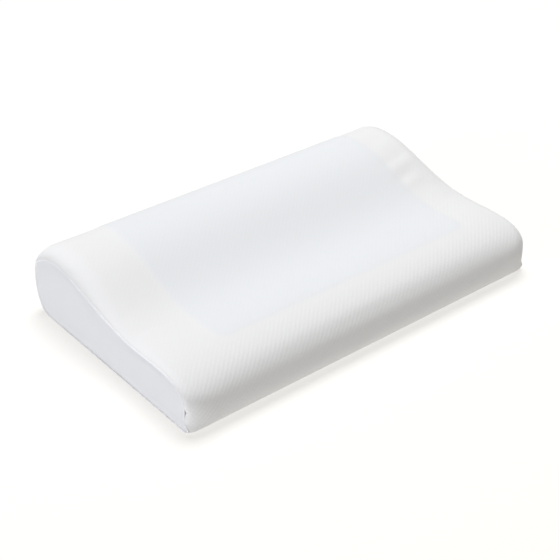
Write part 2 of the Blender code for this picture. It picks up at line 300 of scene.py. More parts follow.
def writePoints(mesh, points):
    mesh.vertices.foreach_set("co", np.asarray(points, np.float32).ravel())
    mesh.update()


def vertexNormals(mesh):
    return np.array([n.vector[:] for n in mesh.vertex_normals])


def applied(piece):
    # the piece's modifiers made part of its mesh
    made = bpy.data.meshes.new_from_object(piece.evaluated_get(bpy.context.evaluated_depsgraph_get()))
    piece.modifiers.clear()
    piece.data = made
    return piece


def walled(piece, thickness):
    # a sheet given its thickness on the inner side
    wall = piece.modifiers.new("wall", "SOLIDIFY")
    wall.thickness, wall.offset = thickness, -1
    return applied(piece)


def eased(piece, width, segments, angle):
    # edges sharper than this many degrees rounded off
    edge = piece.modifiers.new("edge", "BEVEL")
    edge.width, edge.segments = width, segments
    edge.limit_method, edge.angle_limit = "ANGLE", math.radians(angle)
    return applied(piece)


def finishPiece(piece, body, nodes, material):
    piece.data.materials.clear()
    piece.data.materials.append(material)
    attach(piece, body)
    if nodes:
        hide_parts(*nodes)
    return piece


# cover, the part that goes round the pillow

wrap = {
    "columns": 150,                # round the cross-section, before the last subdivision
    "straightRows": 27,            # from the middle to where an end begins to turn in
    "rolledRows": 9,
    "rollHigh": (0.0210, 0.0135),  # along X and inwards, at the crown
    "rollLow": (0.0085, 0.0045),   # from the low lobe's height down
    "rollFront": (0.0300, 0.0130), # round the upright corners at the front
    "frontFrom": (-0.012, 0.012),  # the heights between which those corners grow to that
    "rollBase": (0.0060, 0.0018),  # along the base
    "rollAngle": 95,               # degrees, a little past square, so that the seam lies in a groove
    "slitHalf": 0.0052,            # half the height of the opening behind the zip
    "hem": 0.0013,                 # how far the opening's edge turns in
    "hemRows": ((0.0, 1.0), (0.0, 0.5), (0.25, 0.12)),   # along the cloth and inwards, in hems
    "hemEnds": 0.8,                # where the flat cloth begins, in hems from the edge
    "hemLeast": 0.25,              # the share of the hem's depth that is left at the seams
    "pastZip": 0.002,              # the opening keeps its height this far past the stops
    "closing": 0.0045,             # and narrows over this length
    "shut": 0.00002,               # to this half height
    "wall": 0.0011,
}

pad = {
    "step": 0.0006,                # how much the gel pad stands up under the knit
    "edge": 0.007,                 # the width of that step
    "corner": 0.013,
    "lieAbove": 0.8,               # it lies on the outline above this share of the low lobe's height
}

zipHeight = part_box("zip_coil_upper")[0].z - 0.00015
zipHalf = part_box("zip_stop_right")[1].x


def share(height):
    return smoothStep(height, frontHeight, crownHeight)


def rolledEnd(place, normal):
    # how far an end turns in here, along X and inwards
    up = share(place[..., 1])
    fore = np.clip(-normal[..., 0], 0, 1) ** 2 * smoothStep(place[..., 1], *wrap["frontFrom"])
    under = np.clip(-normal[..., 1], 0, 1) ** 2
    turned = []
    for low, high, front, base in zip(wrap["rollLow"], wrap["rollHigh"], wrap["rollFront"], wrap["rollBase"]):
        turned.append(low + (high - low) * up + (front - low) * fore + (base - low) * under)
    return turned


def openingHalf(x):
    # half the opening's height at this place along X
    begins = zipHalf + wrap["pastZip"]
    return wrap["slitHalf"] * (1 - smoothStep(abs(x), begins, begins + wrap["closing"])) + wrap["shut"]


def wrapGrid():
    # points[row, column] from the left seam to the right one, their place on the cloth and the way out
    steps = np.concatenate([np.arange(wrap["straightRows"]) / wrap["straightRows"],
                            1 + np.arange(wrap["rolledRows"] + 1) / wrap["rolledRows"]])
    steps = np.concatenate([-steps[:0:-1], steps])
    points = np.zeros((len(steps), wrap["columns"], 3))
    cloth, outward = np.zeros_like(points), np.zeros_like(points)
    hem = np.array(wrap["hemRows"]) * wrap["hem"]
    across = np.linspace(0, 1, wrap["columns"] - 2 * len(hem))
    lowAlong = wrap["rollLow"][0]
    for row, step in enumerate(steps):
        side, size = (np.sign(step) or 1.0), abs(step)
        straight, angle = min(size, 1.0), max(size - 1.0, 0.0) * math.radians(wrap["rollAngle"])
        edge = openingHalf(straight * (halfLength - lowAlong))
        first = edge + wrap["hem"] * wrap["hemEnds"]
        flat = first + across * (girth - 2 * first)
        distance = np.concatenate([edge + hem[:, 0], flat, girth - edge - hem[::-1, 0]])
        tuck = np.concatenate([hem[:, 1], np.zeros(len(across)), hem[::-1, 1]])
        place, normal = onOutline(distance)
        along, inward = rolledEnd(place, normal)
        inset = inward * (1 - math.cos(angle)) + tuck * max(math.cos(angle), wrap["hemLeast"])
        points[row, :, 0] = side * ((halfLength - along) * straight + along * math.sin(angle))
        points[row, :, 1:] = place - normal * inset[:, None]
        outward[row, :, 0] = side * math.sin(angle)
        outward[row, :, 1:] = normal * math.cos(angle)
        cloth[row, :, 0] = distance
    middle = len(steps) // 2
    run = np.linalg.norm(np.diff(points, axis=0), axis=2)
    cloth[middle + 1:, :, 1] = np.cumsum(run[middle:], axis=0)
    cloth[:middle, :, 1] = -np.cumsum(run[:middle][::-1], axis=0)[::-1]
    return points, cloth, outward


def padOnCloth():
    # the gel pad on the cloth: s from and to, its middle along x and half its length
    low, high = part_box("gel_pad")
    upper = outline[:, 1] > frontHeight * pad["lieAbove"]
    s = np.arange(len(outline)) * outlineStep
    back = s[upper & (outline[:, 0] > high.y)].max()
    front = s[upper & (outline[:, 0] > low.y)].max()
    return back, front, (low.x + high.x) / 2, (high.x - low.x) / 2


padBack, padFront, padMiddle, padHalf = padOnCloth()


def padDistance(cloth):
    # how far outside the pad's rounded rectangle each place on the cloth is
    corner = pad["corner"]
    across = np.abs(cloth[:, 0] - (padBack + padFront) / 2) - ((padFront - padBack) / 2 - corner)
    along = np.abs(cloth[:, 1] - padMiddle) - (padHalf - corner)
    outside = np.hypot(np.maximum(across, 0), np.maximum(along, 0))
    return outside + np.minimum(np.maximum(across, along), 0) - corner


settle = {
    "frames": 16,
    "pressure": 3.0,
    "spare": -0.012,               # cloth beyond what the foam needs, near the end seams
    "near": 0.045,                 # how far from a seam that spare cloth reaches
    "heldColumns": 8,              # beside the zip
    "heldBelow": 0.002,            # and the base up to this height
    "quality": 6,
    "mass": 0.15,
    "stretch": 20,
    "shear": 8,
    "bend": 1.5,
    "outMost": 0.0016,
    "inMost": 0.0008,
}


def settleCloth(piece, points, cloth, outward):
    # the cover drawn tight by its own stretch, held at its seams, its zip and its base
    rows, columns = points.shape[:2]
    fixed = piece.vertex_groups.new(name="held")
    spare = piece.vertex_groups.new(name="spare")
    fromSeam = np.abs(cloth[..., 1]).max(axis=0)[None, :] - np.abs(cloth[..., 1])
    for index in range(rows * columns):
        row, column = divmod(index, columns)
        atEnd = row in (0, rows - 1)
        atZip = min(column, columns - 1 - column) < settle["heldColumns"]
        if atEnd or atZip or points[row, column, 2] < settle["heldBelow"]:
            fixed.add([index], 1.0, "REPLACE")
        loose = float(1 - smoothStep(fromSeam[row, column], 0, settle["near"]))
        if loose > 0:
            spare.add([index], loose, "REPLACE")
    modifier = piece.modifiers.new("settle", "CLOTH")
    knitted = modifier.settings
    knitted.quality = settle["quality"]
    knitted.mass = settle["mass"]
    knitted.tension_stiffness = knitted.compression_stiffness = settle["stretch"]
    knitted.shear_stiffness = settle["shear"]
    knitted.bending_stiffness = settle["bend"]
    knitted.vertex_group_mass = "held"
    knitted.vertex_group_shrink = "spare"
    knitted.shrink_min, knitted.shrink_max = 0.0, settle["spare"]
    knitted.use_pressure = True
    knitted.uniform_pressure_force = settle["pressure"]
    knitted.effector_weights.gravity = 0
    modifier.collision_settings.use_collision = False
    scene = bpy.context.scene
    scene.frame_start, scene.frame_end = 1, settle["frames"]
    for number in range(1, settle["frames"] + 1):
        scene.frame_set(number)
        bpy.context.view_layer.update()
    applied(piece)
    scene.frame_set(1)
    piece.vertex_groups.clear()
    moved = readPoints(piece.data).reshape(points.shape) - points
    out = (moved * outward).sum(axis=-1)
    most = np.where(out > 0, settle["outMost"], settle["inMost"])
    out = most * np.tanh(out / most)
    writePoints(piece.data, points + outward * out[..., None])
    return np.abs(out).max()


def makeCoverWrap():
    points, cloth, outward = wrapGrid()
    piece = link("coverWrap", meshFrom("coverWrap", points, gridQuads(*points.shape[:2]), cloth))
    moved = settleCloth(piece, points, cloth, outward)
    print(f"cover settled, moved at most {moved * 1000:.1f} mm")
    finer = piece.modifiers.new("finer", "SUBSURF")
    finer.levels = finer.render_levels = 1
    finer.boundary_smooth = "PRESERVE_CORNERS"
    applied(piece)
    shapeCloth(piece)
    return walled(piece, wrap["wall"])


creases = {
    # each fold that a pull leaves: where it starts and ends on the cloth, its width and its depth
    "folds": (((0.168, 0.186), (0.158, 0.238), 0.0075, 0.0008),
              ((0.197, 0.188), (0.188, 0.224), 0.0070, 0.0007),
              ((0.128, 0.200), (0.122, 0.232), 0.0080, 0.0004)),
    "rises": (-0.15, 0.3),         # between these shares of its length
    "sinks": (0.7, 1.15),
    "trough": 0.8,                 # the hollow beside a fold, as a share of its depth
    "troughAt": 1.7,               # and its distance from the fold, in widths
}

puckers = {
    "spacing": 0.0105,             # along the seam
    "reach": 0.010,                # across it
    "depth": 0.00022,
    "seamAt": 0.012,               # the seam's distance on the cloth past half the length
    "waves": 4,                    # waves of different lengths, added up
    "shortest": 0.8,               # of the spacing
    "longer": 0.35,                # each next one, of the spacing
    "evened": 3,                   # what their sum is divided by
    "seed": 5,
}

dimple = {
    "place": (-1, -0.1430, 0.0260),  # which end, y and z of the little pucker at the front corner
    "radius": 0.0042,
    "depth": 0.0022,
    "onPanel": 0.6,                # the share of that depth in the end panel
}


def shapeCloth(piece):
    # what lies under and pulls on the knit: the pad's edge, soft folds, puckers along the seams
    mesh = piece.data
    points, cloth, normals = readPoints(mesh), readFabric(mesh), vertexNormals(mesh)
    raised = pad["step"] * (1 - smoothStep(padDistance(cloth), -pad["edge"] / 2, pad["edge"] / 2))
    for start, end, width, depth in creases["folds"]:
        start, end = np.array(start), np.array(end)
        way = (end - start) / np.linalg.norm(end - start)
        local = cloth[:, :2] - start
        along = local @ way / np.linalg.norm(end - start)
        across = (local @ np.array((-way[1], way[0]))) / width
        fade = smoothStep(along, *creases["rises"]) * (1 - smoothStep(along, *creases["sinks"]))
        hollow = creases["trough"] * np.exp(-(across - creases["troughAt"]) ** 2)
        raised += depth * fade * (np.exp(-across ** 2) - hollow)
    toEnd = np.maximum(halfLength + puckers["seamAt"] - np.abs(cloth[:, 1]), 0)
    rng = np.random.default_rng(puckers["seed"])
    wave = np.zeros(len(cloth))
    for number in range(puckers["waves"]):
        spacing = puckers["spacing"] * (puckers["shortest"] + puckers["longer"] * number)
        start = rng.uniform(0, 2 * math.pi)
        wave += np.sin(cloth[:, 0] / spacing * 2 * math.pi + start) / puckers["evened"]
    raised += puckers["depth"] * wave * np.exp(-(toEnd / puckers["reach"]) ** 2)
    side, y, z = dimple["place"]
    away = np.linalg.norm(points - np.array((side * halfLength, y, z)), axis=1) / dimple["radius"]
    raised -= dimple["depth"] * np.exp(-away ** 2)
    points += normals * raised[:, None]
    points[:, 2] = np.maximum(points[:, 2], 0.0)
    writePoints(mesh, points)


# end panels and the seams round them

panel = {
    "rings": 22,
    "around": 300,
    "bulge": 0.0016,               # how far the panel stands out from its seam
    "rise": 0.014,                 # over this distance from the seam
    "start": 0.0005,               # how far inside the end its edge lies
    "inside": 0.0004,              # and how far inside the cover's own edge
    "crowding": 1.35,              # draws its rings closer together near the seam
    "riseShape": 1.3,
    "poleHeight": 0.030,
}

piping = {
    "radius": 0.00115,
    "around": 640,
    "sides": 10,
    "inFrom": 0.0006,              # its middle from the cover's end, along X
    "inside": 0.0002,              # and from the cover's own edge
    "swells": ((0.05, 57, 0), (0.04, 91, 1)),      # share of the radius, waves round an end, start
}


def seamRing(count, further):
    # (y, z) evenly round an end's seam, this much further in than the cover's edge
    place, normal = onOutline(np.arange(count) * girth / count)
    inward = rolledEnd(place, normal)[1]
    angle = math.radians(wrap["rollAngle"])
    return alongLoop(place - normal * (inward * (1 - math.cos(angle)) + further)[:, None], count)


def makePanel(name, side):
    # rings that run in from the seam to a pole, bulging a little
    ring = seamRing(panel["around"], panel["inside"])
    middle = np.array(((ring[:, 0].max() + ring[:, 0].min()) / 2, panel["poleHeight"]))
    spread = np.linspace(0, 1, panel["rings"] + 1)[:-1] ** panel["crowding"]
    points = []
    for part in spread:
        place = middle + (ring - middle) * (1 - part)
        gap = np.linalg.norm(ring - middle, axis=1) * part
        out = panel["bulge"] * (1 - np.exp(-(gap / panel["rise"]) ** panel["riseShape"]))
        points.append(np.column_stack([side * (halfLength - panel["start"] + out), place]))
    points = np.array(points)
    faces = gridQuads(*points.shape[:2], closed=True).tolist()
    pole = (side * (halfLength - panel["start"] + panel["bulge"]), *middle)
    points = np.vstack([points.reshape(-1, 3), [pole]])
    faces += fan((panel["rings"] - 1) * panel["around"], panel["around"], len(points) - 1)
    cloth = np.column_stack([points[:, 2], points[:, 1], np.zeros(len(points))])
    if side == dimple["place"][0]:
        away = np.linalg.norm(points[:, 1:] - np.array(dimple["place"][1:]), axis=1) / dimple["radius"]
        points[:, 0] -= side * dimple["depth"] * dimple["onPanel"] * np.exp(-away ** 2)
    piece = link(name, meshFrom(name, points, faces, cloth))
    faceOutwards(piece.data)
    if np.sign(vertexNormals(piece.data)[-1][0]) != side:
        piece.data.flip_normals()
    return walled(piece, wrap["wall"])


def makePiping(name, side):
    # a covered cord round an end, slightly uneven where the stitches draw it in
    ring = seamRing(piping["around"], piping["inside"])
    normal = loopNormals(ring)
    turn = np.arange(piping["sides"]) / piping["sides"] * 2 * math.pi
    far = np.arange(piping["around"]) / piping["around"]
    swell = 1
    for part, waves, start in piping["swells"]:
        swell = swell + part * np.sin(far * 2 * math.pi * waves + start)
    radius = piping["radius"] * swell
    middle = side * (halfLength - piping["inFrom"])
    points = np.zeros((piping["around"], piping["sides"], 3))
    points[..., 0] = middle + side * radius[:, None] * np.cos(turn)
    points[..., 1:] = ring[:, None, :] + normal[:, None, :] * (radius[:, None] * np.sin(turn))[..., None]
    length = far * np.linalg.norm(np.roll(ring, -1, 0) - ring, axis=1).sum()
    cloth = np.zeros_like(points)
    cloth[..., 0] = length[:, None]
    cloth[..., 1] = (turn * piping["radius"])[None, :]
    faces = gridQuads(*points.shape[:2], closed=True, looped=True)
    piece = link(name, meshFrom(name, points, faces, cloth))
    faceOutwards(piece.data)
    return piece


# foam core and gel pad, inside the cover

inner = {
    "rows": 61,
    "around": 190,
    "capRings": 9,
    "round": 0.014,                # the foam's rounded ends
    "roundRows": 7,
    "pole": (0.0, 0.032),          # y and z of the middle of each end face
    "recess": 0.0031,              # depth of the bed cut for the gel pad
    "recessEdge": 0.0012,
    "padWall": 0.0029,
    "padInFrom": 0.0010,           # how far inside its bed the pad's edge lies
    "padRows": 70,
    "padColumns": 110,
    "padEdge": 0.0009,             # the bevel round its edges
}

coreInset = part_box("cover_wrap")[1].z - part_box("foam_core")[1].z


def makeFoamCore():
    # straight rows between rounded ends, each end closed by rings that run in to a pole
    half = halfLength - coreInset
    straight = half - inner["round"]
    distance = np.arange(inner["around"]) * girth / inner["around"]
    place, normal = onOutline(distance)
    rows = [(x, 0.0) for x in np.linspace(-straight, straight, inner["rows"])]
    turn = np.arange(1, inner["roundRows"] + 1) / inner["roundRows"] * math.pi / 2
    caps = [(straight + inner["round"] * math.sin(t), inner["round"] * (1 - math.cos(t))) for t in turn]
    rows = [(-x, i) for x, i in caps[::-1]] + rows + caps
    points = np.zeros((len(rows), inner["around"], 3))
    for row, (x, inset) in enumerate(rows):
        flat = np.column_stack([distance, np.full(len(distance), x), np.zeros(len(distance))])
        bed = inner["recess"] * (1 - smoothStep(padDistance(flat), -inner["recessEdge"], inner["recessEdge"]))
        points[row, :, 0] = x
        points[row, :, 1:] = place - normal * (coreInset + inset + bed)[:, None]
    faces = gridQuads(*points.shape[:2], closed=True).tolist()
    points = points.reshape(-1, 3).tolist()
    count = inner["around"]
    for last in (0, (len(rows) - 1) * count):
        ring = np.array(points[last:last + count])
        middle = np.array((ring[0, 0], *inner["pole"]))
        for step in range(1, inner["capRings"]):
            here = len(points)
            points += (middle + (ring - middle) * (1 - step / inner["capRings"])).tolist()
            faces += band(last, here, count)
            last = here
        points.append(middle.tolist())
        faces += fan(last, count, len(points) - 1)
    piece = link("foamCore", meshFrom("foamCore", points, faces))
    faceOutwards(piece.data)
    return piece


def makeGelPad():
    # a sheet of gel bent over the core, its rounded rectangle read off the cloth's own distances
    less = inner["padInFrom"]
    across, along = np.meshgrid(np.linspace(-1, 1, inner["padColumns"]), np.linspace(-1, 1, inner["padRows"]))
    halfAcross, halfAlong = (padFront - padBack) / 2 - less, padHalf - less
    corner = pad["corner"] - less
    # squares pushed in to the rounded rectangle along their own rays
    a, b = across * halfAcross, along * halfAlong
    overA, overB = np.abs(a) - (halfAcross - corner), np.abs(b) - (halfAlong - corner)
    both = (overA > 0) & (overB > 0)
    length = np.where(both, np.hypot(overA, overB), 1)
    square = np.where(both, np.maximum(overA, overB), 1)
    a = np.where(both, np.sign(a) * (halfAcross - corner + overA * square / length), a)
    b = np.where(both, np.sign(b) * (halfAlong - corner + overB * square / length), b)
    place, normal = onOutline(a + (padBack + padFront) / 2)
    layers = []
    for depth in (0.0, inner["padWall"]):
        layer = np.zeros(a.shape + (3,))
        layer[..., 0] = padMiddle + b
        layer[..., 1:] = place - normal * (coreInset + depth)
        layers.append(layer)
    rows, columns = a.shape
    quads = gridQuads(rows, columns)
    count = rows * columns
    rim = [(0, k) for k in range(columns)] + [(r, columns - 1) for r in range(1, rows)]
    rim += [(rows - 1, k) for k in range(columns - 2, -1, -1)] + [(r, 0) for r in range(rows - 2, 0, -1)]
    rim = [r * columns + c for r, c in rim]
    faces = quads.tolist() + (quads[:, ::-1] + count).tolist()
    faces += [(rim[k], rim[k - 1], rim[k - 1] + count, rim[k] + count) for k in range(len(rim))]
    piece = link("gelPad", meshFrom("gelPad", np.array(layers), faces))
    faceOutwards(piece.data)
    return eased(piece, inner["padEdge"], 3, 50)


# zip: tapes, coils, thread

zipBack = {
    "tapeWidth": 0.0140,
    "tapeStart": 0.00016,          # its edge's distance from the zip line
    "tapeWall": 0.0008,
    "tapeRows": 130,
    "tapeColumns": 25,
    "selvedge": 0.0004,            # the ribbed strip beside the coil stands up this much
    "selvedgeAt": 0.0028,          # this far from the tape's edge
    "selvedgeWidth": 0.0005,
    "selvedgeOut": 0.6,            # the share of its height outside the tape
    "tapeHalf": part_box("zip_tape_upper")[1].x,
    "coilPitch": 0.00140,
    "coilWire": 0.00030,
    "coilLean": 0.30,              # radians
    "stitchPitch": 0.0030,
    "stitchLength": 0.0024,
    "stitchWidth": 0.00042,
    "stitchFrom": 0.0026,          # the row's distance from the opening's edge
    "stitchPast": 0.004,           # how far it goes on past the stops
    "stitchLift": 0.15,            # its middle above the cloth, in widths
    "stitchUneven": 0.05,          # radians either way
}


def makeTape(name, node, side):
    # a woven band that follows the back from beside the coil in under the cover
    near = zipBack["tapeStart"]
    width = zipBack["tapeWidth"] - near
    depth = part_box("cover_wrap")[1].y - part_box(node)[1].y
    across = np.linspace(0, 1, zipBack["tapeColumns"])
    ridge = (across * width - zipBack["selvedgeAt"]) / zipBack["selvedgeWidth"]
    ridges = zipBack["selvedge"] * np.exp(-ridge ** 2)
    distance = side * (near + across * width)
    place, normal = onOutline(distance)
    outerFace = place - normal * (depth - ridges * zipBack["selvedgeOut"])[:, None]
    innerFace = place - normal * (depth + zipBack["tapeWall"])
    ring = np.vstack([outerFace, innerFace[::-1]])
    flat = np.concatenate([across * width, across[::-1] * width])
    xs = np.linspace(-zipBack["tapeHalf"], zipBack["tapeHalf"], zipBack["tapeRows"])
    points = np.zeros((len(xs), len(ring), 3))
    points[..., 0] = xs[:, None]
    points[..., 1:] = ring
    cloth = np.zeros_like(points)
    cloth[..., 0] = flat
    cloth[..., 1] = xs[:, None]
    faces = gridQuads(*points.shape[:2], closed=True).tolist()
    count = len(ring)
    for first in (0, (len(xs) - 1) * count):
        last = first + count - 1
        faces += [(first + k, first + k + 1, last - 1 - k, last - k) for k in range(count // 2 - 1)]
    piece = link(name, meshFrom(name, points, faces, cloth))
    faceOutwards(piece.data)
    piece.data.set_sharp_from_angle(angle=math.radians(50))
    return piece


def newTree(name, inputs):
    tree = bpy.data.node_groups.new(name, "GeometryNodeTree")
    tree.interface.new_socket("Geometry", in_out="OUTPUT", socket_type="NodeSocketGeometry")
    for title, kind, value in inputs:
        socket = tree.interface.new_socket(title, in_out="INPUT", socket_type=kind)
        if value is not None:
            socket.default_value = value
    return tree


def repeatTree(name):
    # one round-ended bar or ring of thread, again and again along a line
    tree = newTree(name, [("Start", "NodeSocketVector", None), ("Step", "NodeSocketVector", None),
                          ("Count", "NodeSocketInt", 10), ("Ring", "NodeSocketBool", False),
                          ("Size", "NodeSocketVector", None), ("Wire", "NodeSocketFloat", 0.0003),
                          ("Turn", "NodeSocketVector", None), ("Uneven", "NodeSocketFloat", 0.0),
                          ("Finish", "NodeSocketMaterial", None)])
    given = addNode(tree, "NodeGroupInput").outputs
    line = addNode(tree, "GeometryNodeMeshLine", {"mode": "OFFSET"},
                   {"Count": given["Count"], "Start Location": given["Start"],
                    "Offset": given["Step"]}).outputs[0]
    circle = addNode(tree, "GeometryNodeCurvePrimitiveCircle",
                     inputs={"Resolution": 10, "Radius": 1.0}).outputs[0]
    oval = addNode(tree, "GeometryNodeTransform", inputs={"Geometry": circle, "Scale": given["Size"]}).outputs[0]
    profile = addNode(tree, "GeometryNodeCurvePrimitiveCircle",
                      inputs={"Resolution": 6, "Radius": given["Wire"]}).outputs[0]
    ring = addNode(tree, "GeometryNodeCurveToMesh", inputs={"Curve": oval, "Profile Curve": profile}).outputs[0]
    ball = addNode(tree, "GeometryNodeMeshUVSphere",
                   inputs={"Segments": 8, "Rings": 6, "Radius": 0.5}).outputs[0]
    bar = addNode(tree, "GeometryNodeTransform", inputs={"Geometry": ball, "Scale": given["Size"]}).outputs[0]
    shape = addNode(tree, "GeometryNodeSwitch", {"input_type": "GEOMETRY"},
                    {"Switch": given["Ring"], "False": bar, "True": ring}).outputs[0]
    most = addNode(tree, "ShaderNodeVectorMath", "SCALE",
                   {0: (1.0, 1.0, 1.0), "Scale": given["Uneven"]}).outputs[0]
    least = addNode(tree, "ShaderNodeVectorMath", "SCALE", {0: most, "Scale": -1.0}).outputs[0]
    jitter = addNode(tree, "FunctionNodeRandomValue", {"data_type": "FLOAT_VECTOR"},
                     {"Min": least, "Max": most, "Seed": 3}).outputs[0]
    turned = addNode(tree, "ShaderNodeVectorMath", "ADD", [given["Turn"], jitter]).outputs[0]
    placed = addNode(tree, "GeometryNodeInstanceOnPoints",
                     inputs={"Points": line, "Instance": shape, "Rotation": turned}).outputs[0]
    real = addNode(tree, "GeometryNodeRealizeInstances", inputs=[placed]).outputs[0]
    smooth = addNode(tree, "GeometryNodeSetShadeSmooth", inputs={"Geometry": real}).outputs[0]
    done = addNode(tree, "GeometryNodeSetMaterial",
                   inputs={"Geometry": smooth, "Material": given["Finish"]}).outputs[0]
    addNode(tree, "NodeGroupOutput", inputs=[done])
    return tree


threadRow = repeatTree("threadRow")


def grow(name, tree, values):
    # the tree's result with these inputs as a plain mesh
    piece = link(name, bpy.data.meshes.new(name))
    modifier = piece.modifiers.new("grow", "NODES")
    modifier.node_group = tree
    for item in tree.interface.items_tree:
        if item.item_type == "SOCKET" and item.in_out == "INPUT" and item.name in values:
            modifier[item.identifier] = values[item.name]
    return applied(piece)


def makeCoil(name, node, material):
    # a row of ovals of drawn wire, half a pitch out of step with the other side's
    low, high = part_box(node)
    pitch, wire = zipBack["coilPitch"], zipBack["coilWire"]
    count = int((high.x - low.x) / pitch)
    shift = pitch / 2 if name.endswith("Lower") else 0.0
    middle = (low + high) / 2
    return grow(name, threadRow, {
        "Start": (low.x + wire * 2 + shift, middle.y, middle.z), "Step": (pitch, 0.0, 0.0),
        "Count": count - 1, "Ring": True, "Wire": wire,
        "Size": ((high.y - low.y) / 2 - wire, (high.z - low.z) / 2 - wire, 1.0),
        "Turn": (math.radians(90), 0.0, math.radians(90) + zipBack["coilLean"]), "Finish": material})


def makeTopstitch(name, side, material):
    # one row of stitches in the cover, beside the opening
    reach = zipHalf + zipBack["stitchPast"]
    distance = side * (wrap["slitHalf"] + zipBack["stitchFrom"])
    (y, z), normal = onOutline(distance)
    pitch = zipBack["stitchPitch"]
    count = int(2 * reach / pitch) + 1
    lift = zipBack["stitchWidth"] * zipBack["stitchLift"]
    return grow(name, threadRow, {
        "Start": (-pitch * (count - 1) / 2, y + normal[0] * lift, z + normal[1] * lift),
        "Step": (pitch, 0.0, 0.0), "Count": count, "Ring": False,
        "Size": (zipBack["stitchLength"], zipBack["stitchWidth"], zipBack["stitchWidth"]),
        "Uneven": zipBack["stitchUneven"], "Finish": material})


# slider, pull and stops: the frame's shapes with their edges softened

solids = {
    "metalEdge": 0.00022,
    "stopEdge": 0.00025,
    "edgeSegments": 2,
    "easedFrom": 28,               # degrees
    "sharpFrom": 35,
}


def softened(name, node, width):
    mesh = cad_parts[node].data.copy()
    mesh.name = name
    work = bmesh.new()
    work.from_mesh(mesh)
    bmesh.ops.remove_doubles(work, verts=work.verts, dist=1e-6)
    bmesh.ops.dissolve_limit(work, angle_limit=math.radians(2), verts=work.verts, edges=work.edges)
    bmesh.ops.recalc_face_normals(work, faces=work.faces)
    work.to_mesh(mesh)
    work.free()
    piece = eased(link(name, mesh), width, solids["edgeSegments"], solids["easedFrom"])
    piece.data.shade_smooth()
    piece.data.set_sharp_from_angle(angle=math.radians(solids["sharpFrom"]))
    return piece


# care label

label = {
    "rows": 40,
    "columns": 24,
    "wall": 0.00035,
    "length": 0.028,
    "start": 0.0004,               # its sewn end, below the zip line
    "offCloth": 0.0004,
    "curl": 0.0022,                # its free end stands off this much
    "curlShape": 2.2,
    "wave": 0.0006,
    "waveAcross": (5.0, 0.6),      # radians from edge to edge, and where the wave starts
    "waveShape": 1.5,
    "dip": 0.0012,                 # the sewn end dips into the seam
    "dipLength": 0.0016,
}


def makeLabel():
    low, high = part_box("care_label")
    across, down = np.meshgrid(np.linspace(0, 1, label["columns"]), np.linspace(0, 1, label["rows"]))
    far = down * label["length"]
    place, normal = onOutline(-(label["start"] + far))
    lift = label["wall"] * 1.5 + label["offCloth"] + label["curl"] * down ** label["curlShape"]
    turns, start = label["waveAcross"]
    lift = lift + label["wave"] * np.sin(across * turns + start) * down ** label["waveShape"]
    lift = lift - label["dip"] * np.exp(-(far / label["dipLength"]) ** 2)
    points = np.zeros(across.shape + (3,))
    points[..., 0] = low.x + across * (high.x - low.x)
    points[..., 1:] = place + normal * lift[..., None]
    cloth = np.zeros_like(points)
    cloth[..., 0], cloth[..., 1] = far, across * (high.x - low.x)
    piece = link("careLabel", meshFrom("careLabel", points, gridQuads(*across.shape), cloth))
    if vertexNormals(piece.data)[0][1] < 0:
        piece.data.flip_normals()
    return walled(piece, label["wall"])


# materials

def newMaterial(name, **finish):
    sockets = {"roughness": "Roughness", "sheen": "Sheen Weight", "sheenRoughness": "Sheen Roughness",
               "specular": "Specular IOR Level", "coat": "Coat Weight", "coatRoughness": "Coat Roughness",
               "subsurface": "Subsurface Weight"}
    material = bpy.data.materials.new(name)
    material.use_nodes = True
    shader = material.node_tree.nodes["Principled BSDF"]
    for key, value in finish.items():
        shader.inputs[sockets[key]].default_value = value
    return material, material.node_tree, shader


def onCloth(tree):
    # the place on the cloth, whole and as its distances round and along the pillow
    cloth = addNode(tree, "ShaderNodeAttribute", {"attribute_name": "fabric"}).outputs["Vector"]
    parts = addNode(tree, "ShaderNodeSeparateXYZ", inputs=[cloth]).outputs
    return cloth, parts["X"], parts["Y"]


def dress(tree, shader, colour, height, pattern, low, span=(0.3, 0.7)):
    # relief of this height in metres, and a colour that falls to its low share where the pattern is weak
    bump = addNode(tree, "ShaderNodeBump", inputs={"Strength": 1.0, "Distance": 1.0, "Height": height})
    tree.links.new(bump.outputs["Normal"], shader.inputs["Normal"])
    level = addNode(tree, "ShaderNodeMapRange",
                    inputs={"Value": pattern, "From Min": span[0], "From Max": span[1],
                            "To Min": low, "To Max": 1.0}).outputs[0]
    if isinstance(colour, str):
        colour = linear(colour)[:3]
    tinted = addNode(tree, "ShaderNodeVectorMath", "SCALE", {0: colour, "Scale": level}).outputs[0]
    tree.links.new(tinted, shader.inputs["Base Color"])


knit = {
    "colour": "#E7E7E7",
    "overPad": "#E3E5E7",          # the blue gel seen through the knit
    "ribSpacing": 0.0045,          # between the raised diagonals, across them
    "ribAngle": 44,                # degrees from straight round the pillow
    "counter": 0.32,               # the weaker ribs that cross them
    "ribDepth": 0.00010,
    "crook": 0.0012,               # how far a rib strays from straight
    "crookScale": 90.0,
    "drawnTight": 0.65,            # the share of their depth that is lost where the knit is stretched
    "tightFrom": (0.03, 0.09),     # along the cloth from the zip line, growing and then fading
    "tightTo": (0.28, 0.34),
    "loop": 0.0014,                # one knitted loop, about twice the real one so that it shows
    "loopDepth": 0.00002,
    "fuzzScale": 1400.0,
    "hollow": 0.992,               # painted shade: the colour's share at the bottom of the hollows
    "hollowTo": 0.9,               # the height on the ribs from which it is whole
    "padFade": 0.004,              # half the width over which the gel's tint fades
    "roughness": 0.92,
    "sheen": 0.12,
}


